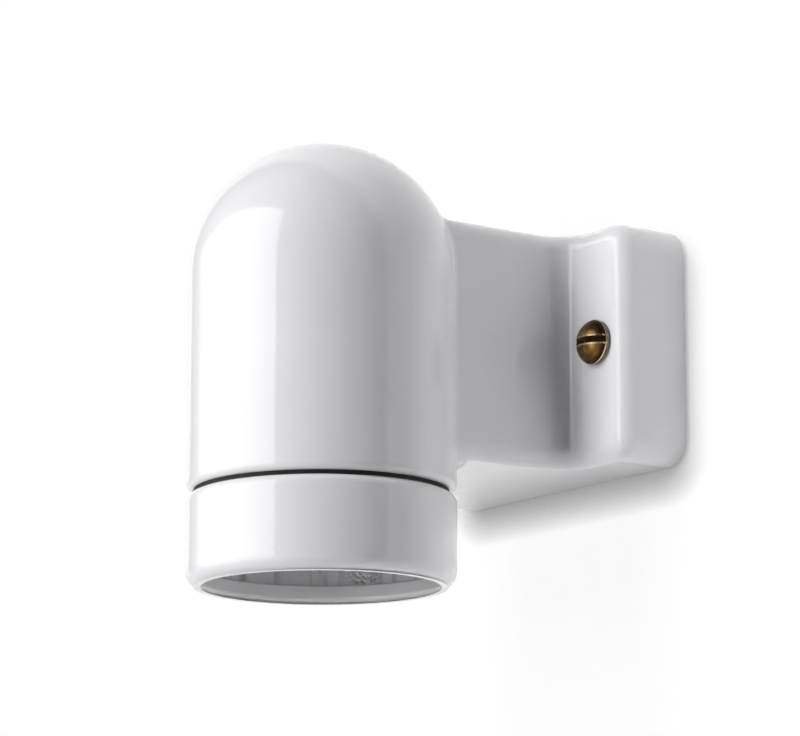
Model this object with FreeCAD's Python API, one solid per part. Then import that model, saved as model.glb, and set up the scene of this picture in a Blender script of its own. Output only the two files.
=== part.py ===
import FreeCAD, Part
import math
import os

from FreeCAD import Vector

# Porcelain wall lamp holder: a domed head that opens downwards, on an arm with a screwed-on wall plate.
# Sizes are in millimetres. The origin is the middle of the wall face, at y = 0. +Z is up, the holder
# stands out towards -Y, and +X is on the right for someone who faces the wall.

# Wall bracket, outside
head_d = 60.0
reach = 70.0              # wall to lamp axis
dome_rise = 14.4          # dome centre above the middle of the plate
shoulder_drop = 34.1     # lower end of the head below the middle of the plate
shoulder_edge = 1.7
plate_h = 54.0
plate_t = 18.4
plate_corner = 6.5
plate_back_edge = 1.0
arm_inset = 8.0           # the arm is narrower than the head by this on each side
rim_edge = 4.2            # rounding along the top and bottom of the plate and the arm
ear_hollow = 6.0          # hollow fillet between the arm and the ears
neck_hollow = 3.0         # hollow fillet between the arm and the head

# Wall bracket, inside
body_wall = 6.6
arm_wall = 6.4
channel_below = 12.0
channel_above = 18.0
channel_corner = 4.0
recess_w = 48.0
recess_h = 38.0
recess_depth = 11.0
recess_corner = 5.0
spigot_wall = 2.5
spigot_len = 11.8
rib_w = 9.0
rib_wall = 2.4            # porcelain between a fixing screw's hole and the inner side of its rib

# Shade ring and its seal
ring_h = 20.6
seam = 0.9
thread_room = 1.0         # between the spigot and the ring, filled by the two coarse threads
lip_step = 0.5
lip_h = 4.0
ring_top_edge = 2.2
ring_bottom_edge = 3.5
ring_lip_edge = 1.6
ring_bore_edge = 0.3
seal_w = 2.0
seal_play = 0.35

# Socket insert
insert_play = 0.6
insert_drop = 8.0         # top of the insert below the middle of the plate
insert_base_t = 8.0
insert_floor_t = 10.0
collar_len = 28.0
collar_wall = 2.6
collar_edge = 0.8
shell_bore_d = 26.8
shell_t = 0.5
shell_play = 0.1
shell_inset = 1.0
shell_thread_len = 19.0
shell_step = 1.4
shell_flange_w = 5.5
fixing_edge = 2.9         # middle of a fixing screw to the rim of the insert
fixing_d = 3.4
fixing_play = 0.2
fixing_head_d = 5.8
fixing_head_h = 2.2
fixing_tip = 1.6
nut_w = 5.5
nut_t = 2.4
nut_play = 0.15
nut_bore_play = 0.05
nut_bridge = 7.0          # porcelain between the insert's seat and the nut

# Centre contact
bush_d = 8.0
bush_wall = 1.2
bush_rim = 0.9
bush_rim_t = 0.8
bush_play = 0.05
tip_d = 3.9
tip_len = 4.2
tip_edge = 1.2
plunger_collar_t = 1.0
plunger_play = 0.1
stem_d = 2.4
stem_len = 5.0
contact_travel = 2.0
spring_wire_d = 0.5
spring_turns = 6.0
spring_play = 0.1
spring_flats = 8          # the wire's section is drawn with this many flats

# Terminals
strip_t = 0.8
strip_w = 7.0
strip_lap = 0.4
block_l = 7.0
block_h = 7.2
terminal_x = 10.5
terminal_y = 2.0
wire_hole_d = 3.0
wire_hole_rise = 2.6
clamp_d = 3.0
clamp_play = 0.05
clamp_head_d = 5.0
clamp_head_h = 1.9
clamp_stand = 1.2
rivet_x = 8.6
rivet_y = -4.6
rivet_d = 2.4
rivet_head_d = 4.2
rivet_head_h = 0.8
rivet_play = 0.05

# Wall screws
screw_edge = 9.3          # middle of a wall screw to the end of the plate
washer_room = 0.3         # washer to the hollow fillet beside it
screw_d = 4.8
screw_neck_d = 4.2        # plain neck of a screw with a rolled thread
screw_play = 0.3
screw_len = 40.0
screw_point = 6.0
screw_head_d = 10.2
screw_head_h = 3.6
screw_rim_h = 0.5
washer_d = 9.8
washer_t = 0.8
slot_w = 1.3
slot_depth = 1.9
small_slot_w = 0.8
small_slot_depth = 0.9
right_slot_turn = 6.0
left_slot_turn = -38.0

# Heights and radii that follow from the sizes above
head_r = head_d / 2
axis_y = -reach
half_arm = head_r - arm_inset
screw_x = half_arm + ear_hollow + washer_room + washer_d / 2
plate_w = 2 * (screw_x + screw_edge)
shoulder_z = -shoulder_drop
cavity_r = head_r - body_wall
spigot_r = cavity_r + spigot_wall
spigot_low = shoulder_z - spigot_len
ring_top = shoulder_z - seam
ring_low = ring_top - ring_h
ring_bore_r = spigot_r + thread_room
lip_r = ring_bore_r - lip_step
seat_z = -insert_drop
base_low = seat_z - insert_base_t
floor_z = seat_z - insert_floor_t
mouth_z = base_low - collar_len
shell_r = shell_bore_d / 2
shell_out_r = shell_r + shell_t
shell_low = mouth_z + shell_inset
shell_step_z = shell_low + shell_thread_len
insert_bore_r = shell_out_r + shell_play
collar_r = insert_bore_r + collar_wall
insert_r = cavity_r - insert_play
fixing_r = fixing_d / 2
fixing_x = insert_r - fixing_edge
nut_z = seat_z + nut_bridge
bush_r = bush_d / 2
bush_bore_r = bush_r - bush_wall
strip_top = seat_z + strip_t
collar_top = floor_z + plunger_collar_t
front_y = -plate_t


def turned(points, x=0.0, y=0.0):
    """Revolve a closed outline of (radius, z, corner radius) points about a vertical line at x, y."""
    count = len(points)
    corners = [Vector(point[0], 0, point[1]) for point in points]
    runs = []
    for i in range(count):
        here = corners[i]
        edge = points[i][2]
        if edge == 0:
            runs.append((here, None, here))
            continue
        back = (corners[i - 1] - here).normalize()
        ahead = (corners[(i + 1) % count] - here).normalize()
        half = back.getAngle(ahead) / 2
        cut = edge / math.tan(half)
        inward = (back + ahead).normalize()
        middle = here + inward * (edge / math.sin(half) - edge)
        runs.append((here + back * cut, middle, here + ahead * cut))
    edges = []
    for i in range(count):
        start, middle, end = runs[i]
        if middle is not None:
            edges.append(Part.Arc(start, middle, end).toShape())
        follow = runs[(i + 1) % count][0]
        if (follow - end).Length > 1e-6:
            edges.append(Part.makeLine(end, follow))
    solid = Part.Face(Part.Wire(edges)).revolve(Vector(0, 0, 0), Vector(0, 0, 1), 360)
    solid.translate(Vector(x, y, 0))
    return solid


def rod(radius, low, high, x=0.0, y=0.0):
    """Upright round bar from one height to another."""
    return Part.makeCylinder(radius, high - low, Vector(x, y, low))


def block(x0, x1, y0, y1, z0, z1):
    return Part.makeBox(x1 - x0, y1 - y0, z1 - z0, Vector(x0, y0, z0))


def middle_of(edge):
    return edge.valueAt((edge.FirstParameter + edge.LastParameter) / 2)


def rounded(solid, radius, chosen):
    """Round every edge whose midpoint passes the test."""
    return solid.makeFillet(radius, [edge for edge in solid.Edges if chosen(middle_of(edge))])


def near(a, b, within=0.01):
    return abs(a - b) < within


def tunnel(half_w, low, high, y0, y1, corner):
    """Straight passage towards the wall with rounded corners."""
    bar = block(-half_w, half_w, y0, y1, low, high)
    return rounded(bar, corner, lambda m: near(abs(m.x), half_w) and (near(m.z, low) or near(m.z, high)))


# Wall bracket: one glazed casting of head, arm and wall plate, hollow from the mouth to the wall
def head_outside():
    top = dome_rise + head_r
    outline = [
        Part.makeLine(Vector(0, 0, spigot_low), Vector(spigot_r, 0, spigot_low)),
        Part.makeLine(Vector(spigot_r, 0, spigot_low), Vector(spigot_r, 0, shoulder_z)),
        Part.makeLine(Vector(spigot_r, 0, shoulder_z), Vector(head_r - shoulder_edge, 0, shoulder_z)),
        Part.Arc(
            Vector(head_r - shoulder_edge, 0, shoulder_z),
            Vector(
                head_r - shoulder_edge + shoulder_edge * math.sin(math.pi / 4),
                0,
                shoulder_z + shoulder_edge - shoulder_edge * math.cos(math.pi / 4),
            ),
            Vector(head_r, 0, shoulder_z + shoulder_edge),
        ).toShape(),
        Part.makeLine(Vector(head_r, 0, shoulder_z + shoulder_edge), Vector(head_r, 0, dome_rise)),
        Part.Arc(
            Vector(head_r, 0, dome_rise),
            Vector(head_r * math.sin(math.pi / 4), 0, dome_rise + head_r * math.cos(math.pi / 4)),
            Vector(0, 0, top),
        ).toShape(),
        Part.makeLine(Vector(0, 0, top), Vector(0, 0, spigot_low)),
    ]
    solid = Part.Face(Part.Wire(outline)).revolve(Vector(0, 0, 0), Vector(0, 0, 1), 360)
    solid.translate(Vector(0, axis_y, 0))
    return solid


def bracket_outside():
    half_w = plate_w / 2
    half_h = plate_h / 2
    plate = block(-half_w, half_w, front_y, 0, -half_h, half_h)
    plate = rounded(plate, plate_corner, lambda m: near(abs(m.x), half_w) and near(abs(m.z), half_h))
    arm = block(-half_arm, half_arm, axis_y, front_y, -half_h, half_h)
    body = head_outside().fuse([arm, plate]).removeSplitter()
    body = rounded(body, ear_hollow, lambda m: near(abs(m.x), half_arm) and near(m.y, front_y) and abs(m.z) < 1)

    def on_rim(m):
        along_arm = near(abs(m.x), half_arm) and near(abs(m.z), half_h)
        ear_front = near(m.y, front_y) and abs(m.x) > half_arm + ear_hollow / 2
        ear_turn = near(abs(m.z), half_h) and abs(m.y - front_y) < ear_hollow and abs(m.x) < half_arm + ear_hollow
        return along_arm or ear_front or (ear_turn and abs(m.x) > half_arm)

    body = rounded(body, rim_edge, on_rim)

    def on_neck(m):
        across = math.hypot(m.x, m.y - axis_y)
        from_dome = math.sqrt(m.x ** 2 + (m.y - axis_y) ** 2 + (m.z - dome_rise) ** 2)
        on_head = (near(across, head_r, 0.05) and shoulder_z + 3 < m.z < dome_rise + 0.5) or (
            near(from_dome, head_r, 0.05) and dome_rise - 0.5 <= m.z < half_h + 3
        )
        return on_head and m.y > axis_y + 5 and abs(m.x) <= half_arm + 0.01

    body = rounded(body, neck_hollow, on_neck)
    return rounded(body, plate_back_edge, lambda m: near(m.y, 0))


def head_cavity():
    well = rod(cavity_r, spigot_low - 1, dome_rise, 0, axis_y)
    return well.fuse(Part.makeSphere(cavity_r, Vector(0, axis_y, dome_rise)))


def fixing_ribs():
    inner = fixing_x - fixing_r - fixing_play - rib_wall
    bars = [
        block(min(side * inner, side * head_r), max(side * inner, side * head_r),
              axis_y - rib_w / 2, axis_y + rib_w / 2, seat_z, dome_rise + head_r)
        for side in (-1, 1)
    ]
    return bars[0].fuse(bars[1])


def nut_pockets():
    half = nut_w / 2 + nut_play
    top = nut_z + nut_t + nut_play
    shapes = []
    for side in (-1, 1):
        inner = side * (fixing_x - head_r / 2)
        outer = side * (fixing_x + half)
        shapes.append(block(min(inner, outer), max(inner, outer), axis_y - half, axis_y + half, nut_z, top))
        hole_top = top + fixing_tip + 1
        shapes.append(rod(fixing_r + fixing_play, seat_z - 1, hole_top, side * fixing_x, axis_y))
    return shapes


def wall_bracket():
    half_channel = half_arm - arm_wall
    channel = tunnel(half_channel, -channel_below, channel_above, axis_y, -1, channel_corner)
    recess = tunnel(recess_w / 2, -recess_h / 2, recess_h / 2, -recess_depth, 1, recess_corner)
    hollow = head_cavity().fuse(channel).cut(fixing_ribs()).fuse(recess)
    holes = [
        Part.makeCylinder(screw_d / 2 + screw_play, plate_t + 2, Vector(x, front_y - 1, 0), Vector(0, 1, 0))
        for x in (-screw_x, screw_x)
    ]
    return bracket_outside().cut([hollow] + nut_pockets() + holes)


# Shade ring: porcelain ring that screws on the spigot and carries a thin seal on its top
def shade_ring():
    wall_low = ring_low + lip_h
    outline = [
        (lip_r, ring_low, ring_lip_edge),
        (head_r, ring_low, ring_bottom_edge),
        (head_r, ring_top, ring_top_edge),
        (ring_bore_r, ring_top, ring_bore_edge),
        (ring_bore_r, wall_low + lip_step, 0),
        (lip_r, wall_low, 0),
    ]
    return turned(outline, 0, axis_y)


def ring_seal():
    inner = spigot_r + seal_play
    outline = [
        (inner, ring_top, 0),
        (inner + seal_w, ring_top, 0),
        (inner + seal_w, shoulder_z, 0),
        (inner, shoulder_z, 0),
    ]
    return turned(outline, 0, axis_y)


# Socket insert: porcelain block with a collar round the lamp's screw shell
def socket_insert():
    outline = [
        (bush_r + bush_play, seat_z, 0),
        (bush_r + bush_play, floor_z, 0),
        (insert_bore_r - shell_step, floor_z, 0),
        (insert_bore_r - shell_step, shell_step_z + shell_t, 0),
        (insert_bore_r, shell_step_z + shell_t, 0),
        (insert_bore_r, mouth_z, 0),
        (collar_r, mouth_z, collar_edge),
        (collar_r, base_low, 0),
        (insert_r, base_low, collar_edge),
        (insert_r, seat_z, 0),
    ]
    body = turned(outline, 0, axis_y)
    holes = [
        rod(fixing_r + fixing_play, base_low - 1, seat_z + 1, side * fixing_x, axis_y) for side in (-1, 1)
    ]
    holes.append(rod(rivet_d / 2 + rivet_play, floor_z - 1, seat_z + 1, rivet_x, axis_y + rivet_y))
    return body.cut(holes)


def screw_shell():
    """Drawn brass shell, stepped in at its end, with a flat flange against the floor of the insert."""
    neck_r = shell_r - shell_step
    neck_out_r = shell_out_r - shell_step
    outline = [
        (shell_r, shell_low, 0),
        (shell_out_r, shell_low, 0),
        (shell_out_r, shell_step_z + shell_t, 0),
        (neck_out_r, shell_step_z + shell_t, 0),
        (neck_out_r, floor_z, 0),
        (neck_out_r - shell_flange_w, floor_z, 0),
        (neck_out_r - shell_flange_w, floor_z - shell_t, 0),
        (neck_r, floor_z - shell_t, 0),
        (neck_r, shell_step_z, 0),
        (shell_r, shell_step_z, 0),
    ]
    body = turned(outline, 0, axis_y)
    return body.cut(rod(rivet_d / 2 + rivet_play, floor_z - 2, floor_z + 1, rivet_x, axis_y + rivet_y))


def shell_rivet():
    low = floor_z - shell_t
    top = strip_top
    x = rivet_x
    y = axis_y + rivet_y
    shank = rod(rivet_d / 2, low, top, x, y)
    heads = [
        turned([(0, low, 0), (0, low - rivet_head_h, 0), (rivet_head_d / 2, low - rivet_head_h, 0),
                (rivet_head_d / 2, low, 0)], x, y),
        turned([(0, top, 0), (rivet_head_d / 2, top, 0), (rivet_head_d / 2, top + rivet_head_h, 0),
                (0, top + rivet_head_h, 0)], x, y),
    ]
    return shank.fuse(heads).removeSplitter()


# Terminals: a brass strip on the insert with a saddle block for the wire
def terminal(side, strip_y0, strip_inner_x):
    x = side * terminal_x
    outer = x + side * block_l / 2
    inner = side * strip_inner_x
    y1 = axis_y + terminal_y + block_l / 2
    strip = block(min(outer, inner), max(outer, inner), axis_y + strip_y0, y1, seat_z, strip_top)
    saddle = block(x - block_l / 2, x + block_l / 2, axis_y + terminal_y - block_l / 2, y1,
                   seat_z, strip_top + block_h)
    body = strip.fuse(saddle).removeSplitter()
    wire = Part.makeCylinder(wire_hole_d / 2, block_l + 2,
                             Vector(x, axis_y + terminal_y - block_l / 2 - 1, strip_top + wire_hole_rise),
                             Vector(0, 1, 0))
    screw = rod(clamp_d / 2 + clamp_play, strip_top + wire_hole_rise, strip_top + block_h + 1,
                x, axis_y + terminal_y)
    return body.cut([wire, screw])


def line_terminal():
    body = terminal(-1, -strip_w / 2, -bush_r - strip_lap)
    return body.cut(rod(bush_r + bush_play, seat_z - 1, strip_top + 1, 0, axis_y))


def neutral_terminal():
    body = terminal(1, rivet_y - strip_w / 2, rivet_x - rivet_head_d / 2 - strip_lap)
    return body.cut(rod(rivet_d / 2 + rivet_play, seat_z - 1, strip_top + 1, rivet_x, axis_y + rivet_y))


def clamp_screw(side):
    x = side * terminal_x
    y = axis_y + terminal_y
    head_low = strip_top + block_h + clamp_stand
    top = head_low + clamp_head_h
    outline = [
        (0, strip_top + wire_hole_rise, 0),
        (clamp_d / 2, strip_top + wire_hole_rise, 0),
        (clamp_d / 2, head_low, 0),
        (clamp_head_d / 2, head_low, 0),
        (clamp_head_d / 2, top, 0.4),
        (0, top, 0),
    ]
    body = turned(outline, x, y)
    slot = block(x - clamp_head_d, x + clamp_head_d, y - small_slot_w / 2, y + small_slot_w / 2,
                 top - small_slot_depth, top + 1)
    return body.cut(slot)


# Centre contact: a sprung plunger in a brass bush that is rolled over the line terminal's strip
def contact_bush():
    low = floor_z - bush_rim_t
    top = strip_top + bush_rim_t
    guide_r = tip_d / 2 + plunger_play
    outline = [
        (guide_r, low, 0),
        (bush_r + bush_rim, low, 0),
        (bush_r + bush_rim, floor_z, 0),
        (bush_r, floor_z, 0),
        (bush_r, strip_top, 0),
        (bush_r + bush_rim, strip_top, 0),
        (bush_r + bush_rim, top, 0),
        (0, top, 0),
        (0, strip_top, 0),
        (bush_bore_r, strip_top, 0),
        (bush_bore_r, floor_z, 0),
        (guide_r, floor_z, 0),
    ]
    return turned(outline, 0, axis_y)


def contact_plunger():
    low = floor_z - bush_rim_t - tip_len
    outline = [
        (0, low, 0),
        (tip_d / 2, low, tip_edge),
        (tip_d / 2, floor_z, 0),
        (bush_bore_r - plunger_play, floor_z, 0),
        (bush_bore_r - plunger_play, collar_top, 0),
        (stem_d / 2, collar_top, 0),
        (stem_d / 2, collar_top + stem_len, 0),
        (0, collar_top + stem_len, 0),
    ]
    return turned(outline, 0, axis_y)


def contact_spring():
    wire_r = spring_wire_d / 2
    coil_r = bush_bore_r - spring_play - wire_r
    rise = strip_top - collar_top - 2 * wire_r
    path = Part.makeHelix(rise / spring_turns, rise, coil_r)
    path.translate(Vector(0, axis_y, collar_top + wire_r))
    start = Vector(coil_r, axis_y, collar_top + wire_r)
    turns = [2 * math.pi * i / spring_flats for i in range(spring_flats)]
    corners = [start + Vector(wire_r * math.cos(turn), 0, wire_r * math.sin(turn)) for turn in turns]
    section = Part.makePolygon(corners + corners[:1])
    return Part.Wire(path.Edges).makePipeShell([section], True, True)


# Fixing screws and square nuts that hold the insert up against the ribs
def insert_screw(side):
    x = side * fixing_x
    low = base_low - fixing_head_h
    outline = [
        (0, low, 0),
        (fixing_head_d / 2, low, 1.0),
        (fixing_head_d / 2, base_low, 0),
        (fixing_r, base_low, 0),
        (fixing_r, nut_z + nut_t + fixing_tip, 0),
        (0, nut_z + nut_t + fixing_tip, 0),
    ]
    body = turned(outline, x, axis_y)
    slot = block(x - small_slot_w / 2, x + small_slot_w / 2, axis_y - fixing_head_d, axis_y + fixing_head_d,
                 low - 1, low + small_slot_depth)
    return body.cut(slot)


def insert_nut(side):
    x = side * fixing_x
    half = nut_w / 2
    body = block(x - half, x + half, axis_y - half, axis_y + half, nut_z, nut_z + nut_t)
    return body.cut(rod(fixing_r + nut_bore_play, nut_z - 1, nut_z + nut_t + 1, x, axis_y))


# Wall screws: round-head wood screws, each on a thin washer
def to_wall(solid, x):
    """Lay an upright part along +Y, its z = 0 on the front of the plate."""
    solid.rotate(Vector(0, 0, 0), Vector(1, 0, 0), -90)
    solid.translate(Vector(x, front_y, 0))
    return solid


def wall_screw(side, turn):
    head_low = -washer_t
    head_top = head_low - screw_head_h
    rim = head_low - screw_rim_h
    crown = (screw_head_d ** 2 / 4 + (screw_head_h - screw_rim_h) ** 2) / (2 * (screw_head_h - screw_rim_h))
    lift = head_top + crown
    half = math.atan2(screw_head_d / 2, lift - rim) / 2
    on_crown = Vector(crown * math.sin(half), 0, lift - crown * math.cos(half))
    tip = head_low + screw_len
    outline = [
        Part.Arc(Vector(0, 0, head_top), on_crown, Vector(screw_head_d / 2, 0, rim)).toShape(),
        Part.makeLine(Vector(screw_head_d / 2, 0, rim), Vector(screw_head_d / 2, 0, head_low)),
        Part.makeLine(Vector(screw_head_d / 2, 0, head_low), Vector(screw_neck_d / 2, 0, head_low)),
        Part.makeLine(Vector(screw_neck_d / 2, 0, head_low), Vector(screw_neck_d / 2, 0, plate_t)),
        Part.makeLine(Vector(screw_neck_d / 2, 0, plate_t), Vector(screw_d / 2, 0, plate_t)),
        Part.makeLine(Vector(screw_d / 2, 0, plate_t), Vector(screw_d / 2, 0, tip - screw_point)),
        Part.makeLine(Vector(screw_d / 2, 0, tip - screw_point), Vector(0, 0, tip)),
        Part.makeLine(Vector(0, 0, tip), Vector(0, 0, head_top)),
    ]
    body = Part.Face(Part.Wire(outline)).revolve(Vector(0, 0, 0), Vector(0, 0, 1), 360)
    slot = block(-screw_head_d, screw_head_d, -slot_w / 2, slot_w / 2, head_top - 1, head_top + slot_depth)
    slot.rotate(Vector(0, 0, 0), Vector(0, 0, 1), turn)
    return to_wall(body.cut(slot), side * screw_x)


def screw_washer(side):
    outline = [
        (screw_d / 2 + screw_play, 0, 0),
        (screw_d / 2 + screw_play, -washer_t, 0),
        (washer_d / 2, -washer_t, 0),
        (washer_d / 2, 0, 0),
    ]
    return to_wall(turned(outline), side * screw_x)


parts = {
    "wall_bracket": wall_bracket(),
    "shade_ring": shade_ring(),
    "ring_seal": ring_seal(),
    "socket_insert": socket_insert(),
    "screw_shell": screw_shell(),
    "shell_rivet": shell_rivet(),
    "contact_bush": contact_bush(),
    "contact_plunger": contact_plunger(),
    "contact_spring": contact_spring(),
    "line_terminal": line_terminal(),
    "neutral_terminal": neutral_terminal(),
    "line_clamp_screw": clamp_screw(-1),
    "neutral_clamp_screw": clamp_screw(1),
    "insert_screw_left": insert_screw(-1),
    "insert_screw_right": insert_screw(1),
    "insert_nut_left": insert_nut(-1),
    "insert_nut_right": insert_nut(1),
    "wall_screw_left": wall_screw(-1, left_slot_turn),
    "wall_screw_right": wall_screw(1, right_slot_turn),
    "screw_washer_left": screw_washer(-1),
    "screw_washer_right": screw_washer(1),
}

os.makedirs("parts", exist_ok=True)
for name, shape in parts.items():
    shape.exportStep("parts/" + name + ".step")
    print(name, shape.isValid(), len(shape.Solids), round(shape.Volume, 1))
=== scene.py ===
import bpy
import math
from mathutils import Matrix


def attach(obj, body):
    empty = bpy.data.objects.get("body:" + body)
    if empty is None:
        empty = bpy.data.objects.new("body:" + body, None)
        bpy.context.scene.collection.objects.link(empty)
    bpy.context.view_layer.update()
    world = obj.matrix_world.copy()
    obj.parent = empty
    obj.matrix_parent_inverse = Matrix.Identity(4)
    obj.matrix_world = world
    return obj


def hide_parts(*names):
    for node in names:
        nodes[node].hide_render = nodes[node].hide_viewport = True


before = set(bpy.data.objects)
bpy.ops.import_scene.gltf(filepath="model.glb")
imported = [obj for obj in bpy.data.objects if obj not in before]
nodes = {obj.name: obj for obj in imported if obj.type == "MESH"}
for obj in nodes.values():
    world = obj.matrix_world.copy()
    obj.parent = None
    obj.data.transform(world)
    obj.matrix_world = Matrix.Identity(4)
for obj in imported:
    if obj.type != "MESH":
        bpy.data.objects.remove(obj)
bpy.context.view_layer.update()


# Wall bracket
# One slip-cast porcelain body: domed head, arm and eared wall plate, glazed outside in one dip.
# The spigot under the head, the hollow inside and the wall face are wiped bare before firing.
# Sizes in this file are millimetres. Blender's own tools take metres, so what they get is divided.
axis_y = -70.0            # lamp axis; the wall face is at 0
dome_rise = 14.4          # dome centre above the middle of the plate
spigot_top = -34.3        # where the head's glaze ends and the bare spigot begins
hollow_r = 24.3           # inside this the head is bare
wall_face_y = -0.4
channel_half_w = 15.8     # channel in the arm
channel_half_h = 15.2
channel_z = 3.0
channel_front_y = -60.0
recess_half_w = 24.3      # recess in the wall face
recess_half_h = 19.3
recess_floor_y = -11.2
glaze_edge = 0.2          # the glaze thins out over this width


def linear(hex_code):
    """sRGB hex to the linear colour that the shaders take."""
    values = [int(hex_code[i:i + 2], 16) / 255 for i in (1, 3, 5)]
    return [v / 12.92 if v <= 0.04045 else ((v + 0.055) / 1.055) ** 2.4 for v in values] + [1.0]


def add(tree, kind, inputs=(), **settings):
    """A new node with its properties set and its inputs filled by value or by link."""
    node = tree.nodes.new(kind)
    for key, value in settings.items():
        setattr(node, key, value)
    for key, value in dict(inputs).items():
        if isinstance(value, bpy.types.NodeSocket):
            tree.links.new(value, node.inputs[key])
        else:
            node.inputs[key].default_value = value
    return node


def new_material(name):
    """A node material: its tree, its Principled shader and the place on the piece in millimetres."""
    material = bpy.data.materials.new(name)
    material.use_nodes = True
    tree = material.node_tree
    where = add(tree, "ShaderNodeTexCoord").outputs["Object"]
    place = add(tree, "ShaderNodeVectorMath", {0: where, "Scale": 1000.0}, operation="SCALE").outputs[0]
    return material, tree, tree.nodes["Principled BSDF"], place


def step(tree, value, edge, width, rising=True):
    """0 to 1 across an edge of the given width."""
    ends = (0.0, 1.0) if rising else (1.0, 0.0)
    return add(tree, "ShaderNodeMapRange",
               {0: value, 1: edge - width / 2, 2: edge + width / 2, 3: ends[0], 4: ends[1]}).outputs[0]


def maths(tree, operation, a, b=0.0):
    return add(tree, "ShaderNodeMath", {0: a, 1: b}, operation=operation).outputs[0]


def blend_colours(tree, factor, first, second):
    """Between two colours, each a hex code or a link."""
    ends = [linear(end) if isinstance(end, str) else end for end in (first, second)]
    return add(tree, "ShaderNodeMix", {0: factor, 6: ends[0], 7: ends[1]}, data_type="RGBA").outputs[2]


def from_axis(tree, place, x0=0.0, y0=axis_y):
    """Distance from an upright line, in millimetres."""
    flat = add(tree, "ShaderNodeVectorMath", {0: place, 1: (1.0, 1.0, 0.0)}, operation="MULTIPLY").outputs[0]
    return add(tree, "ShaderNodeVectorMath", {0: flat, 1: (x0, y0, 0.0)}, operation="DISTANCE").outputs["Value"]


def porcelain(name, bare_zone, marks=None):
    """Hard-fired porcelain: a clear glassy glaze, very slightly wavy and cool white, and where the
    zone says so the bare body, matt and fine as an eggshell."""
    material, tree, shader, place = new_material(name)
    bare = bare_zone(tree, place)
    # Clouds about 20 mm wide, where the glaze lies a little thicker
    drift = add(tree, "ShaderNodeTexNoise", {"Vector": place, "Scale": 0.045, "Detail": 2.0}).outputs[0]
    glaze = blend_colours(tree, drift, "#eeedf0", "#f3f2f4")
    # Pinhead specks that the glaze always has, one or two in a square centimetre
    cells = add(tree, "ShaderNodeTexVoronoi", {"Vector": place, "Scale": 0.16, "Randomness": 1.0})
    speck = step(tree, cells.outputs["Distance"], 0.018, 0.012, False)
    glaze = blend_colours(tree, maths(tree, "MULTIPLY", speck, 0.35), glaze, "#8f8a86")
    # The bare body's grain, drawn at 0.4 mm, coarser than it is, so that it shows
    grain = add(tree, "ShaderNodeTexNoise", {"Vector": place, "Scale": 2.4, "Detail": 4.0}).outputs[0]
    body = blend_colours(tree, grain, "#c9c8cb", "#e4e3e6")
    relief = grain
    if marks:
        tone, relief = marks(tree, place, grain)
        body = blend_colours(tree, tone, body, "#8d8c8f")
    tree.links.new(blend_colours(tree, bare, glaze, body), shader.inputs["Base Color"])
    rough = add(tree, "ShaderNodeMix", {0: bare, 2: 0.05, 3: 0.72}).outputs[0]
    tree.links.new(rough, shader.inputs["Roughness"])
    # The glaze's surface waves over about 11 mm, which bends the edges of reflections
    wave = add(tree, "ShaderNodeTexNoise", {"Vector": place, "Scale": 0.09, "Detail": 1.0}).outputs[0]
    soft = add(tree, "ShaderNodeBump", {"Height": wave, "Distance": 0.00012, "Strength": 0.5}).outputs[0]
    tooth = add(tree, "ShaderNodeBump", {"Height": relief, "Distance": 0.00008, "Normal": soft,
                                         "Strength": bare}).outputs[0]
    tree.links.new(tooth, shader.inputs["Normal"])
    shader.inputs["IOR"].default_value = 1.55
    return material


def bracket_bare_zone(tree, place):
    """The spigot, the hollow of the head, the channel in the arm, the recess and the wall face."""
    x, y, z = add(tree, "ShaderNodeSeparateXYZ", {0: place}).outputs
    wide = maths(tree, "ABSOLUTE", x)
    high = maths(tree, "ABSOLUTE", z)
    over_dome = maths(tree, "MAXIMUM", maths(tree, "SUBTRACT", z, dome_rise), 0.0)
    out = from_axis(tree, place)
    out = maths(tree, "SQRT", maths(tree, "ADD", maths(tree, "MULTIPLY", out, out),
                                    maths(tree, "MULTIPLY", over_dome, over_dome)))
    spigot = step(tree, z, spigot_top, glaze_edge, False)
    head = step(tree, out, hollow_r, glaze_edge, False)
    wall_face = step(tree, y, wall_face_y, 0.3)
    off_middle = maths(tree, "ABSOLUTE", maths(tree, "SUBTRACT", z, channel_z))
    in_arm = maths(tree, "MULTIPLY", step(tree, wide, channel_half_w, glaze_edge, False),
                   step(tree, off_middle, channel_half_h, glaze_edge, False))
    in_arm = maths(tree, "MULTIPLY", in_arm, step(tree, y, channel_front_y, glaze_edge))
    recess = maths(tree, "MULTIPLY", step(tree, wide, recess_half_w, glaze_edge, False),
                   step(tree, high, recess_half_h, glaze_edge, False))
    recess = maths(tree, "MULTIPLY", recess, step(tree, y, recess_floor_y, glaze_edge))
    inside = maths(tree, "MAXIMUM", head, maths(tree, "MAXIMUM", in_arm, recess))
    return maths(tree, "MAXIMUM", inside, maths(tree, "MAXIMUM", spigot, wall_face))


def use(material, *names):
    """The named CAD nodes take this material."""
    for name in names:
        nodes[name].data.materials.clear()
        nodes[name].data.materials.append(material)


use(porcelain("porcelain_bracket", bracket_bare_zone), "wall_bracket")


# Spigot thread
# A coarse thread of one low rounded ridge, 4 mm in pitch, cast on the spigot with the bracket and
# left bare. The shade ring screws on it.
thread_pitch = 4.0
thread_half_root = 1.1        # half the ridge's height where it stands on the wall
thread_half_shoulder = 0.75
thread_half_crest = 0.35


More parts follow.
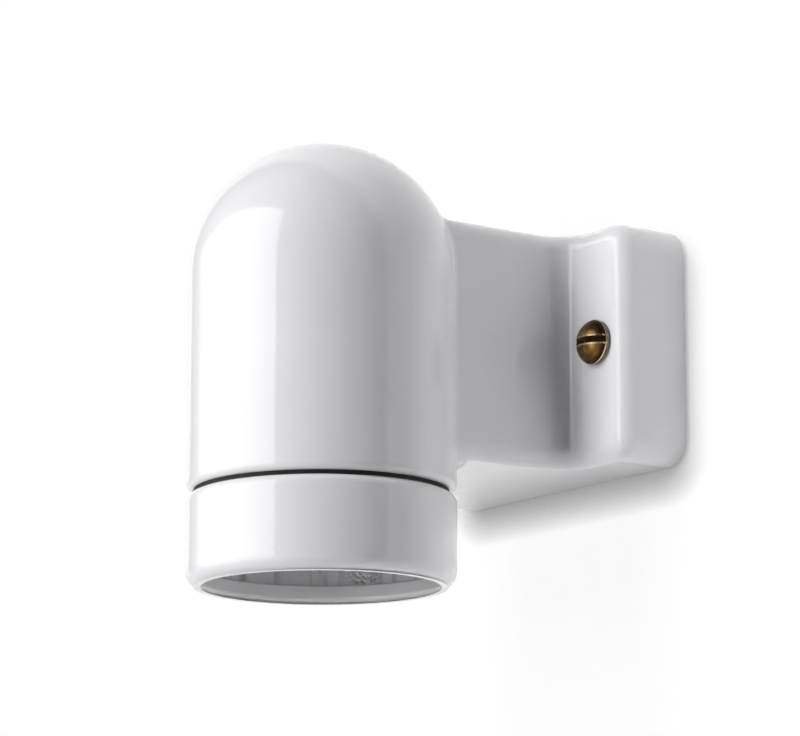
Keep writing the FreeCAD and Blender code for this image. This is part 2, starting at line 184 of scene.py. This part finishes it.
def outline(name, points):
    """Edges through points given in millimetres, drawn by extruding one vertex from point to point."""
    bpy.ops.object.select_all(action="DESELECT")
    bpy.ops.mesh.primitive_plane_add(size=0.001)
    piece = bpy.context.object
    piece.name = name
    bpy.ops.object.mode_set(mode="EDIT")
    bpy.ops.mesh.select_all(action="SELECT")
    bpy.ops.mesh.merge(type="CENTER")
    bpy.ops.transform.translate(value=(points[0][0] / 1000, 0, points[0][1] / 1000))
    for here, there in zip(points, points[1:]):
        move = ((there[0] - here[0]) / 1000, 0, (there[1] - here[1]) / 1000)
        bpy.ops.mesh.extrude_vertices_move(TRANSFORM_OT_translate={"value": move})
    bpy.ops.object.mode_set(mode="OBJECT")
    return piece


def settle(piece, place, body, degrees=35):
    """Put the piece in its place, with the place in its mesh, and fix it to its body."""
    piece.location = [v / 1000 for v in place]
    bpy.ops.object.transform_apply(location=True, rotation=True, scale=True)
    bpy.ops.object.shade_smooth_by_angle(angle=math.radians(degrees))
    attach(piece, body)


def turn_about_axis(piece, turns, steps, pitch=0.0):
    """Turn an outline about the upright axis through the origin, climbing by the pitch in each turn."""
    turning = piece.modifiers.new("turning", "SCREW")
    turning.angle = 2 * math.pi * turns
    turning.steps = turning.render_steps = round(steps * turns)
    turning.screw_offset = pitch * turns / 1000
    turning.use_merge_vertices = True
    turning.merge_threshold = 0.00001
    bpy.ops.object.modifier_apply(modifier="turning")


def clean(piece, sides=0):
    """Close the open ends, merge doubles and point all faces outwards."""
    bpy.ops.object.mode_set(mode="EDIT")
    bpy.ops.mesh.select_all(action="SELECT")
    bpy.ops.mesh.remove_doubles(threshold=0.00001)
    if sides:
        bpy.ops.mesh.fill_holes(sides=sides)
    bpy.ops.mesh.normals_make_consistent(inside=False)
    bpy.ops.object.mode_set(mode="OBJECT")


def thread_ridge(name, root, crest, turns):
    """A low ridge that climbs round the axis and is cut square at both ends."""
    shoulder = root + (crest - root) * 0.75
    upper = [(crest, thread_half_crest), (shoulder, thread_half_shoulder), (root, thread_half_root)]
    lower = [(r, -half) for r, half in reversed(upper)]
    ridge = outline(name, lower + upper + lower[:1])
    clean(ridge)
    turn_about_axis(ridge, turns, 48, thread_pitch)
    clean(ridge, sides=8)
    return ridge


def all_bare(tree, place):
    return 1.0


spigot_thread = thread_ridge("spigot_thread", 25.75, 26.7, 2.1)
settle(spigot_thread, (0, axis_y, -44.6), "bracket")
spigot_thread.data.materials.append(porcelain("porcelain_thread", all_bare))


# Shade ring
# A porcelain ring that screws on the spigot. Its outside and its lip are glazed, and the bore
# above the lip is bare, with the upright marks of the tool that pressed it and a rough kiln scar.
ring_bore_r = 27.05
lip_top = -51.3           # top of the glazed lip
scar_turn = -0.62         # direction of the kiln scar from the axis, radians
scar_half = 0.14
scar_top = -46.0


def ring_bare_zone(tree, place):
    """The bore above the lip."""
    z = add(tree, "ShaderNodeSeparateXYZ", {0: place}).outputs[2]
    in_bore = step(tree, from_axis(tree, place), ring_bore_r + 0.35, glaze_edge, False)
    return maths(tree, "MULTIPLY", in_bore, step(tree, z, lip_top, 0.3))


def ring_marks(tree, place, grain):
    """Upright drag marks about 2 mm apart all round the bore, and a rough patch of spattered glaze."""
    x, y, z = add(tree, "ShaderNodeSeparateXYZ", {0: place}).outputs
    turn = maths(tree, "ARCTAN2", x, maths(tree, "SUBTRACT", y, axis_y))
    around = maths(tree, "MULTIPLY", turn, 27.0)
    stretched = maths(tree, "MULTIPLY", z, 0.12)
    unrolled = add(tree, "ShaderNodeCombineXYZ", {0: around, 1: stretched}).outputs[0]
    drag = add(tree, "ShaderNodeTexNoise", {"Vector": unrolled, "Scale": 0.6, "Detail": 3.0}).outputs[0]
    near = maths(tree, "ABSOLUTE", maths(tree, "SUBTRACT", turn, scar_turn))
    patch = maths(tree, "MULTIPLY", step(tree, near, scar_half, 0.08, False),
                  step(tree, z, scar_top, 1.0, False))
    # Drops of glaze about a millimetre wide
    drops = add(tree, "ShaderNodeTexVoronoi", {"Vector": place, "Scale": 1.1, "Randomness": 1.0})
    spatter = drops.outputs["Distance"]
    relief = add(tree, "ShaderNodeMix", {0: patch, 2: maths(tree, "ADD", grain, drag),
                                         3: maths(tree, "MULTIPLY", spatter, 9.0)}).outputs[0]
    tone = step(tree, drag, 0.62, 0.3)
    return maths(tree, "MULTIPLY", tone, 0.8), relief


use(porcelain("porcelain_ring", ring_bare_zone, ring_marks), "shade_ring")

ring_thread = thread_ridge("ring_thread", ring_bore_r, 26.1, 2.5)
settle(ring_thread, (0, axis_y, -46.6), "ring")
ring_thread.data.materials.append(porcelain("porcelain_ring_thread", all_bare))


# Ring seal
# A thin flat gasket, punched from sheet and laid in the joint under the head. It is coloured
# nearly black and matt, with grey dust, so that its edge draws a dark line along the joint.
dark_seal, tree, shader, place = new_material("seal_dark_line")
dust = add(tree, "ShaderNodeTexNoise", {"Vector": place, "Scale": 1.5, "Detail": 3.0}).outputs[0]
# Nearly black, so that the gasket's edge draws the dark line of the joint
tree.links.new(blend_colours(tree, dust, "#0b0b0b", "#201f1e"), shader.inputs["Base Color"])
shader.inputs["Roughness"].default_value = 0.8
use(dark_seal, "ring_seal")


# Socket insert
# A dry-pressed porcelain block, bare and finely matt, that fills the head and holds the live
# parts. Two screws hold it up against ribs in the head.
use(porcelain("porcelain_insert", all_bare), "socket_insert")


# Screw shell
# The lamp's thread, rolled in thin brass sheet and pressed to a neck and a flange, which is
# riveted to the floor of the insert. It replaces the plain shell.
shell_pitch = 3.63
wave_steps = 12
wave_r = 12.9             # middle of the rolled wave
wave_depth = 0.5
shell_low = 3.7           # ends of the threaded length, above the start of the outline
shell_high = 22.7
sheet_t = 0.4


def brass(name, low, high, roughness, lines=None):
    """Plain brass, a warm yellow metal that dulls and browns in patches. lines gives its drawn or
    turned grain: how often it repeats along x, y and z in a millimetre."""
    material, tree, shader, place = new_material(name)
    haze = add(tree, "ShaderNodeTexNoise", {"Vector": place, "Scale": 0.35, "Detail": 5.0}).outputs[0]
    tree.links.new(blend_colours(tree, haze, low, high), shader.inputs["Base Color"])
    rough = add(tree, "ShaderNodeMapRange",
                {0: haze, 1: 0.3, 2: 0.7, 3: roughness + 0.12, 4: roughness}).outputs[0]
    tree.links.new(rough, shader.inputs["Roughness"])
    if lines:
        drawn = add(tree, "ShaderNodeMapping", {"Vector": place, "Scale": lines}).outputs[0]
        grain = add(tree, "ShaderNodeTexNoise", {"Vector": drawn, "Scale": 1.0, "Detail": 2.0}).outputs[0]
        bump = add(tree, "ShaderNodeBump", {"Height": grain, "Distance": 0.00002, "Strength": 0.5}).outputs[0]
        tree.links.new(bump, shader.inputs["Normal"])
    shader.inputs["Metallic"].default_value = 1.0
    return material


wave = [(wave_r + wave_depth * math.cos(2 * math.pi * i / wave_steps), shell_pitch * i / wave_steps)
        for i in range(wave_steps + 1)]
shell = outline("threaded_shell", wave)
turn_about_axis(shell, 7, 48, shell_pitch)
clean(shell)
bpy.ops.object.mode_set(mode="EDIT")
bpy.ops.mesh.select_all(action="SELECT")
bpy.ops.mesh.bisect(plane_co=(0, 0, shell_low / 1000), plane_no=(0, 0, 1), clear_inner=True)
bpy.ops.mesh.select_all(action="SELECT")
bpy.ops.mesh.bisect(plane_co=(0, 0, shell_high / 1000), plane_no=(0, 0, 1), clear_outer=True)
bpy.ops.object.mode_set(mode="OBJECT")
neck = outline("shell_neck", [(13.7, shell_high), (12.5, shell_high), (12.1, 22.9), (12.1, 27.8),
                              (11.8, 28.3), (7.0, 28.3)])
turn_about_axis(neck, 1, 64)
clean(neck)
bpy.ops.object.select_all(action="DESELECT")
neck.select_set(True)
shell.select_set(True)
bpy.context.view_layer.objects.active = shell
bpy.ops.object.join()
sheet = shell.modifiers.new("sheet", "SOLIDIFY")
sheet.thickness = sheet_t / 1000
sheet.offset = 1.0
bpy.ops.object.modifier_apply(modifier="sheet")
settle(shell, (0, axis_y, -46.7), "bracket", 60)
shell.data.materials.append(brass("brass_rolled_sheet", "#a9853c", "#d9b564", 0.24))
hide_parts("screw_shell")


# Rivet and centre contact
# A solid rivet, a bush rolled over the line terminal's strip, and the sprung pin that the lamp's
# tip presses, all turned from brass bar.
use(brass("brass_turned", "#b08b40", "#e0bc6a", 0.2, (0.3, 0.3, 9.0)),
    "shell_rivet", "contact_bush", "contact_plunger")


# Contact spring
# Half-millimetre spring steel wire, coiled and held in the bush under the plunger. It is drawn
# bright and greyed by its heat treatment, so it looks smooth and slightly dull.
wire, tree, shader, place = new_material("spring_steel_wire")
haze = add(tree, "ShaderNodeTexNoise", {"Vector": place, "Scale": 0.8, "Detail": 3.0}).outputs[0]
tree.links.new(blend_colours(tree, haze, "#6c6e72", "#9c9a96"), shader.inputs["Base Color"])
shader.inputs["Metallic"].default_value = 1.0
shader.inputs["Roughness"].default_value = 0.3
use(wire, "contact_spring")


# Terminals
# Brass strips, each with a saddle block sawn from drawn bar, held down on the insert. The grain
# runs along the bar.
use(brass("brass_drawn_bar", "#a88439", "#d2ad5c", 0.28, (6.0, 0.15, 6.0)), "line_terminal", "neutral_terminal")


# Small screws and nuts
# Steel clamp screws of the terminals, and the two screws and square nuts that hold the insert.
# They are zinc plated in a barrel: grey with a faint straw and blue cast, and a fine spangle.
zinc, tree, shader, place = new_material("zinc_plated_steel")
haze = add(tree, "ShaderNodeTexNoise", {"Vector": place, "Scale": 0.7, "Detail": 3.0}).outputs[0]
spangle = add(tree, "ShaderNodeTexNoise", {"Vector": place, "Scale": 3.0, "Detail": 3.0}).outputs[0]
tone = blend_colours(tree, haze, "#a6a9ad", "#cfccbf")
tone = blend_colours(tree, maths(tree, "MULTIPLY", spangle, 0.3), tone, "#8c9098")
tree.links.new(tone, shader.inputs["Base Color"])
rough = add(tree, "ShaderNodeMapRange", {0: spangle, 3: 0.26, 4: 0.46}).outputs[0]
tree.links.new(rough, shader.inputs["Roughness"])
shader.inputs["Metallic"].default_value = 1.0
use(zinc, "line_clamp_screw", "neutral_clamp_screw", "insert_screw_left", "insert_screw_right",
    "insert_nut_left", "insert_nut_right")


# Wall screws
# Slotted round-head brass wood screws with a rolled thread, brown with age. The slot's edges are worn
# bright by the screwdriver, the rim's edge is painted bright as a highlight, the cove round the crown is
# painted darker as shade, and the slot is darker and rougher in patches. They replace the plain screws.
screw_x = 33.2
plate_front = -18.4
head_low = -0.8           # underside and top of the head, out from the plate's front
head_top = -4.4
crown_r = 5.745           # radius of the crown's curve
crown_end = 4.7           # where a cove parts the crown from the thin rim
rim_r = 5.1
neck_r = 2.1
slot_w = 1.5
slot_depth = 2.1
wood_pitch = 1.8
wood_root_r = 1.6
wood_crest_r = 2.4
wood_low = 1.8            # ends of the thread on its own outline
wood_high = 22.8
wood_start = 18.2         # where the thread begins, in from the plate's front
wood_straight = 15.0      # length of thread before the taper to the point
point_from = 0.7143       # the same, as a share of the thread


def aged_brass(name, side, turn):
    """Old brass with a brown skin of oxide, thin and golden on the crown, gone along the slot's edges.
    The rim's edge is painted bright as a highlight and the cove round the crown darker as shade.
    """
    material, tree, shader, place = new_material(name)
    x, y, z = add(tree, "ShaderNodeSeparateXYZ", {0: place}).outputs
    across = maths(tree, "SUBTRACT", x, side * screw_x)
    out = maths(tree, "SQRT", maths(tree, "ADD", maths(tree, "MULTIPLY", across, across),
                                    maths(tree, "MULTIPLY", z, z)))
    lean = math.radians(turn)
    from_slot = maths(tree, "ABSOLUTE", maths(tree, "ADD", maths(tree, "MULTIPLY", across, math.sin(lean)),
                                              maths(tree, "MULTIPLY", z, math.cos(lean))))
    haze = add(tree, "ShaderNodeTexNoise", {"Vector": place, "Scale": 0.55, "Detail": 5.0}).outputs[0]
    fine = add(tree, "ShaderNodeTexNoise", {"Vector": place, "Scale": 3.5, "Detail": 4.0}).outputs[0]
    skin = blend_colours(tree, haze, "#46301c", "#8f7040")
    # Painted shade: the cove round the crown is coloured darker
    cove_shade = maths(tree, "MULTIPLY", step(tree, out, 4.5, 0.5), step(tree, out, 4.95, 0.1, False))
    skin = blend_colours(tree, cove_shade, skin, "#2c1a10")
    # Painted highlight: the rim's outer edge is coloured bright all round; the slot's edges below are worn
    # bright
    rim_highlight = maths(tree, "MULTIPLY", step(tree, out, 4.93, 0.06), step(tree, y, plate_front - 1.15, 0.1, False))
    at_slot = maths(tree, "MULTIPLY", step(tree, from_slot, slot_w / 2 + 0.3, 0.3, False),
                    step(tree, from_slot, slot_w / 2 - 0.05, 0.1))
    # The slot's wear and the painted rim highlight together, both in pale brass
    worn = maths(tree, "MAXIMUM", rim_highlight, maths(tree, "MULTIPLY", at_slot, step(tree, fine, 0.45, 0.25)))
    rubbed = maths(tree, "MULTIPLY", step(tree, out, 2.6, 2.4, False), step(tree, haze, 0.5, 0.3))
    colour = blend_colours(tree, rubbed, skin, "#b1935a")
    colour = blend_colours(tree, worn, colour, "#e6d3ae")
    # Darker and rougher in patches inside the slot
    in_slot = maths(tree, "MULTIPLY", step(tree, from_slot, slot_w / 2, 0.1, False),
                    step(tree, y, plate_front + head_low - 0.5, 0.2, False))
    slot_dark_patches = maths(tree, "MULTIPLY", in_slot, step(tree, fine, 0.42, 0.3))
    tree.links.new(blend_colours(tree, slot_dark_patches, colour, "#35190e"), shader.inputs["Base Color"])
    rough = add(tree, "ShaderNodeMapRange", {0: fine, 1: 0.3, 2: 0.7, 3: 0.24, 4: 0.42}).outputs[0]
    rough = maths(tree, "MAXIMUM", rough, maths(tree, "MULTIPLY", slot_dark_patches, 0.75))
    tree.links.new(rough, shader.inputs["Roughness"])
    dents = add(tree, "ShaderNodeBump", {"Height": fine, "Distance": 0.00004, "Strength": 0.6}).outputs[0]
    tree.links.new(dents, shader.inputs["Normal"])
    shader.inputs["Metallic"].default_value = 1.0
    return material


def wood_screw(name, turn):
    """Head, slot, plain neck, and a thread that tapers to the point."""
    widest = math.asin(crown_end / crown_r)
    crown = [(crown_r * math.sin(widest * i / 12), head_top + crown_r - crown_r * math.cos(widest * i / 12))
             for i in range(13)]
    rim = [(4.72, -1.5), (4.86, -1.32), (5.0, -1.34), (rim_r, -1.2), (rim_r, head_low)]
    screw = outline(name, crown + rim + [(neck_r, head_low), (neck_r, -plate_front), (0, -plate_front)])
    turn_about_axis(screw, 1, 64)
    clean(screw)
    bpy.ops.mesh.primitive_cube_add(size=1.0, location=(0, 0, (head_top + slot_depth / 2 - 0.5) / 1000),
                                    rotation=(0, 0, math.radians(turn)))
    cutter = bpy.context.object
    cutter.scale = (0.012, slot_w / 1000, (slot_depth + 1.0) / 1000)
    bpy.ops.object.select_all(action="DESELECT")
    bpy.context.view_layer.objects.active = screw
    screw.select_set(True)
    cut = screw.modifiers.new("slot", "BOOLEAN")
    cut.object = cutter
    cut.operation = "DIFFERENCE"
    bpy.ops.object.modifier_apply(modifier="slot")
    bpy.data.objects.remove(cutter)
    worn = screw.modifiers.new("worn_edges", "BEVEL")
    worn.width = 0.00012
    worn.segments = 2
    worn.limit_method = "ANGLE"
    worn.angle_limit = math.radians(35)
    bpy.ops.object.modifier_apply(modifier="worn_edges")
    thread = outline(name + "_thread", [(wood_root_r, 0), (wood_root_r + 0.05, 0.75), (wood_crest_r, 1.2),
                                        (wood_crest_r, 1.35), (wood_root_r, wood_pitch)])
    turn_about_axis(thread, 13, 32, wood_pitch)
    clean(thread)
    bpy.ops.object.mode_set(mode="EDIT")
    bpy.ops.mesh.select_all(action="SELECT")
    bpy.ops.mesh.bisect(plane_co=(0, 0, wood_low / 1000), plane_no=(0, 0, 1), clear_inner=True, use_fill=True)
    bpy.ops.mesh.select_all(action="SELECT")
    bpy.ops.mesh.bisect(plane_co=(0, 0, wood_high / 1000), plane_no=(0, 0, 1), clear_outer=True, use_fill=True)
    bpy.ops.mesh.select_all(action="SELECT")
    bpy.ops.transform.translate(value=(0, 0, -(wood_low + wood_straight) / 1000))
    bpy.ops.object.mode_set(mode="OBJECT")
    point = thread.modifiers.new("point", "SIMPLE_DEFORM")
    point.deform_method = "TAPER"
    point.deform_axis = "Z"
    point.factor = -0.97
    point.limits = (point_from, 1.0)
    bpy.ops.object.modifier_apply(modifier="point")
    bpy.ops.object.mode_set(mode="EDIT")
    bpy.ops.mesh.select_all(action="SELECT")
    bpy.ops.transform.translate(value=(0, 0, (wood_start + wood_straight) / 1000))
    bpy.ops.object.mode_set(mode="OBJECT")
    bpy.ops.object.select_all(action="DESELECT")
    thread.select_set(True)
    screw.select_set(True)
    bpy.context.view_layer.objects.active = screw
    bpy.ops.object.join()
    screw.rotation_euler = (math.radians(-90), 0, 0)
    return screw


for side, turn, name in ((-1, -38.0, "left"), (1, 0.5, "right")):
    screw = wood_screw("screw_" + name, turn)
    settle(screw, (side * screw_x, plate_front, 0), "bracket", 30)
    screw.data.materials.append(aged_brass("brass_aged_" + name, side, turn))
    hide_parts("wall_screw_" + name)


# Washers
# Thin washers of pressed grey fibre, matt and faintly flecked like card, that lie under the screw
# heads and keep them off the glaze. Their grey is partly the fibre's own and partly painted shade:
# it is dark enough to draw the shade line under each head.
fibre_and_shade_grey, tree, shader, place = new_material("fibre_washer_and_shade")
flecks = add(tree, "ShaderNodeTexNoise", {"Vector": place, "Scale": 2.0, "Detail": 3.0}).outputs[0]
# Mid grey: the fibre's own tone and painted shade under the head
tree.links.new(blend_colours(tree, flecks, "#7d7a78", "#a5a2a0"), shader.inputs["Base Color"])
matt = add(tree, "ShaderNodeBump", {"Height": flecks, "Distance": 0.00005, "Strength": 0.5}).outputs[0]
tree.links.new(matt, shader.inputs["Normal"])
shader.inputs["Roughness"].default_value = 0.8
use(fibre_and_shade_grey, "screw_washer_left", "screw_washer_right")


# Room
# The plain white wall that the holder is screwed to, which ends not far to the right, and a pale
# floor under it. Both are clear from behind, and the wall casts no shadow, so the back can be seen.
def pale_surface(name, bounce, seen_colour, lift):
    """Matt paint. To the camera and in reflections it is nearly white, with a narrow soft shade
    under what stands against it. It gives its bounce colour to the holder."""
    material = bpy.data.materials.new(name)
    material.use_nodes = True
    tree = material.node_tree
    tree.nodes.clear()
    # The shade reaches 9 mm. It faces upwards, so that it falls below the holder and not above it
    facing = add(tree, "ShaderNodeCombineXYZ", {0: 0.2, 1: -0.45, 2: 0.87}).outputs[0]
    shade = add(tree, "ShaderNodeAmbientOcclusion", {"Distance": 0.009, "Normal": facing}, samples=4)
    faint = shade.outputs["AO"]
    close = maths(tree, "POWER", faint, 2.0)
    paint = add(tree, "ShaderNodeBsdfDiffuse", {"Color": blend_colours(tree, close, "#202020", bounce)})
    white = add(tree, "ShaderNodeBsdfDiffuse", {"Color": blend_colours(tree, faint, "#202020", seen_colour)})
    glow = add(tree, "ShaderNodeEmission", {"Strength": maths(tree, "MULTIPLY", faint, lift)})
    lifted = add(tree, "ShaderNodeAddShader", {0: white.outputs[0], 1: glow.outputs[0]})
    path = add(tree, "ShaderNodeLightPath")
    seen = maths(tree, "MAXIMUM", path.outputs["Is Camera Ray"], path.outputs["Is Glossy Ray"])
    front = add(tree, "ShaderNodeMixShader", {0: seen, 1: paint.outputs[0], 2: lifted.outputs[0]})
    clear = add(tree, "ShaderNodeBsdfTransparent")
    side = add(tree, "ShaderNodeNewGeometry")
    both = add(tree, "ShaderNodeMixShader",
               {0: side.outputs["Backfacing"], 1: front.outputs[0], 2: clear.outputs[0]})
    add(tree, "ShaderNodeOutputMaterial", {0: both.outputs[0]})
    return material


bpy.ops.mesh.primitive_plane_add(size=1.0, location=(-1.4, 0.0007, 0.5), rotation=(math.radians(90), 0, 0))
wall = bpy.context.object
wall.name = "room_wall"
wall.scale = (3.2, 4.0, 1.0)
wall.visible_shadow = False
wall.data.materials.append(pale_surface("wall_paint", "#ffffff", "#606060", 0.9))
bpy.ops.mesh.primitive_plane_add(size=6.0, location=(0, -3.0, -0.5))
floor = bpy.context.object
floor.name = "room_floor"
floor.data.materials.append(pale_surface("floor_paint", "#e0e0e0", "#606060", 0.9))


# Light
# A softbox in front of the wall lights the holder, a small lamp fills its mouth from below and
# another lights its back. A wide pale screen, brightest at its right, is what the glaze mirrors.
# The rest of the room is nearly dark.
bpy.ops.object.light_add(type="AREA", location=(-0.022, -0.87, 0.43), rotation=(math.radians(90), 0, 0))
softbox = bpy.context.object
softbox.data.shape = "RECTANGLE"
softbox.data.size = 0.3
softbox.data.size_y = 1.15
softbox.data.energy = 9.9
softbox.visible_glossy = False

bpy.ops.object.light_add(type="AREA", location=(-0.04, -0.33, -0.3),
                         rotation=(math.radians(134), 0, math.radians(-9)))
fill = bpy.context.object
fill.data.shape = "SQUARE"
fill.data.size = 0.2
fill.data.energy = 0.19
fill.visible_glossy = False

bpy.ops.object.light_add(type="AREA", location=(0, 0.06, 0), rotation=(math.radians(-90), 0, 0))
behind = bpy.context.object
behind.data.shape = "SQUARE"
behind.data.size = 0.05
behind.data.energy = 0.025
behind.visible_camera = behind.visible_glossy = False

bpy.ops.mesh.primitive_plane_add(size=1.0, location=(-1.13, -0.87, 0.2), rotation=(math.radians(90), 0, 0))
screen = bpy.context.object
screen.name = "room_screen"
screen.scale = (2.75, 1.3, 1.0)
screen.visible_camera = False
screen.visible_diffuse = False
screen.visible_shadow = False
glowing = bpy.data.materials.new("screen_cloth")
glowing.use_nodes = True
tree = glowing.node_tree
tree.nodes.clear()
where = add(tree, "ShaderNodeTexCoord").outputs["Object"]
along = add(tree, "ShaderNodeSeparateXYZ", {0: where}).outputs[0]
level = add(tree, "ShaderNodeMapRange", {0: along, 1: -0.3, 2: 0.35, 3: 0.9, 4: 2.7}).outputs[0]
glow = add(tree, "ShaderNodeEmission", {"Strength": level})
add(tree, "ShaderNodeOutputMaterial", {0: glow.outputs[0]})
screen.data.materials.append(glowing)

world = bpy.data.worlds.new("room")
bpy.context.scene.world = world
world.use_nodes = True
tree = world.node_tree
tree.nodes.clear()
path = add(tree, "ShaderNodeLightPath")
dim = add(tree, "ShaderNodeBackground", {"Color": linear("#f6f4ff"), "Strength": 0.05})
bright = add(tree, "ShaderNodeBackground", {"Color": (1.0, 1.0, 1.0, 1.0), "Strength": 1.0})
both = add(tree, "ShaderNodeMixShader",
           {0: path.outputs["Is Camera Ray"], 1: dim.outputs[0], 2: bright.outputs[0]})
add(tree, "ShaderNodeOutputWorld", {0: both.outputs[0]})


# Camera
# Below the holder and to its right, looking up at it from about 0.8 m. Place, turn and lens were
# fitted to the outline in the photograph.
bpy.ops.object.camera_add(location=(0.6506, -0.5048, -0.1678),
                          rotation=(math.radians(101.667), 0, math.radians(54.976)))
camera = bpy.context.object
camera.data.lens = 161.55
camera.data.sensor_width = 36.0
bpy.context.scene.camera = camera
bpy.context.scene.view_settings.view_transform = "Standard"
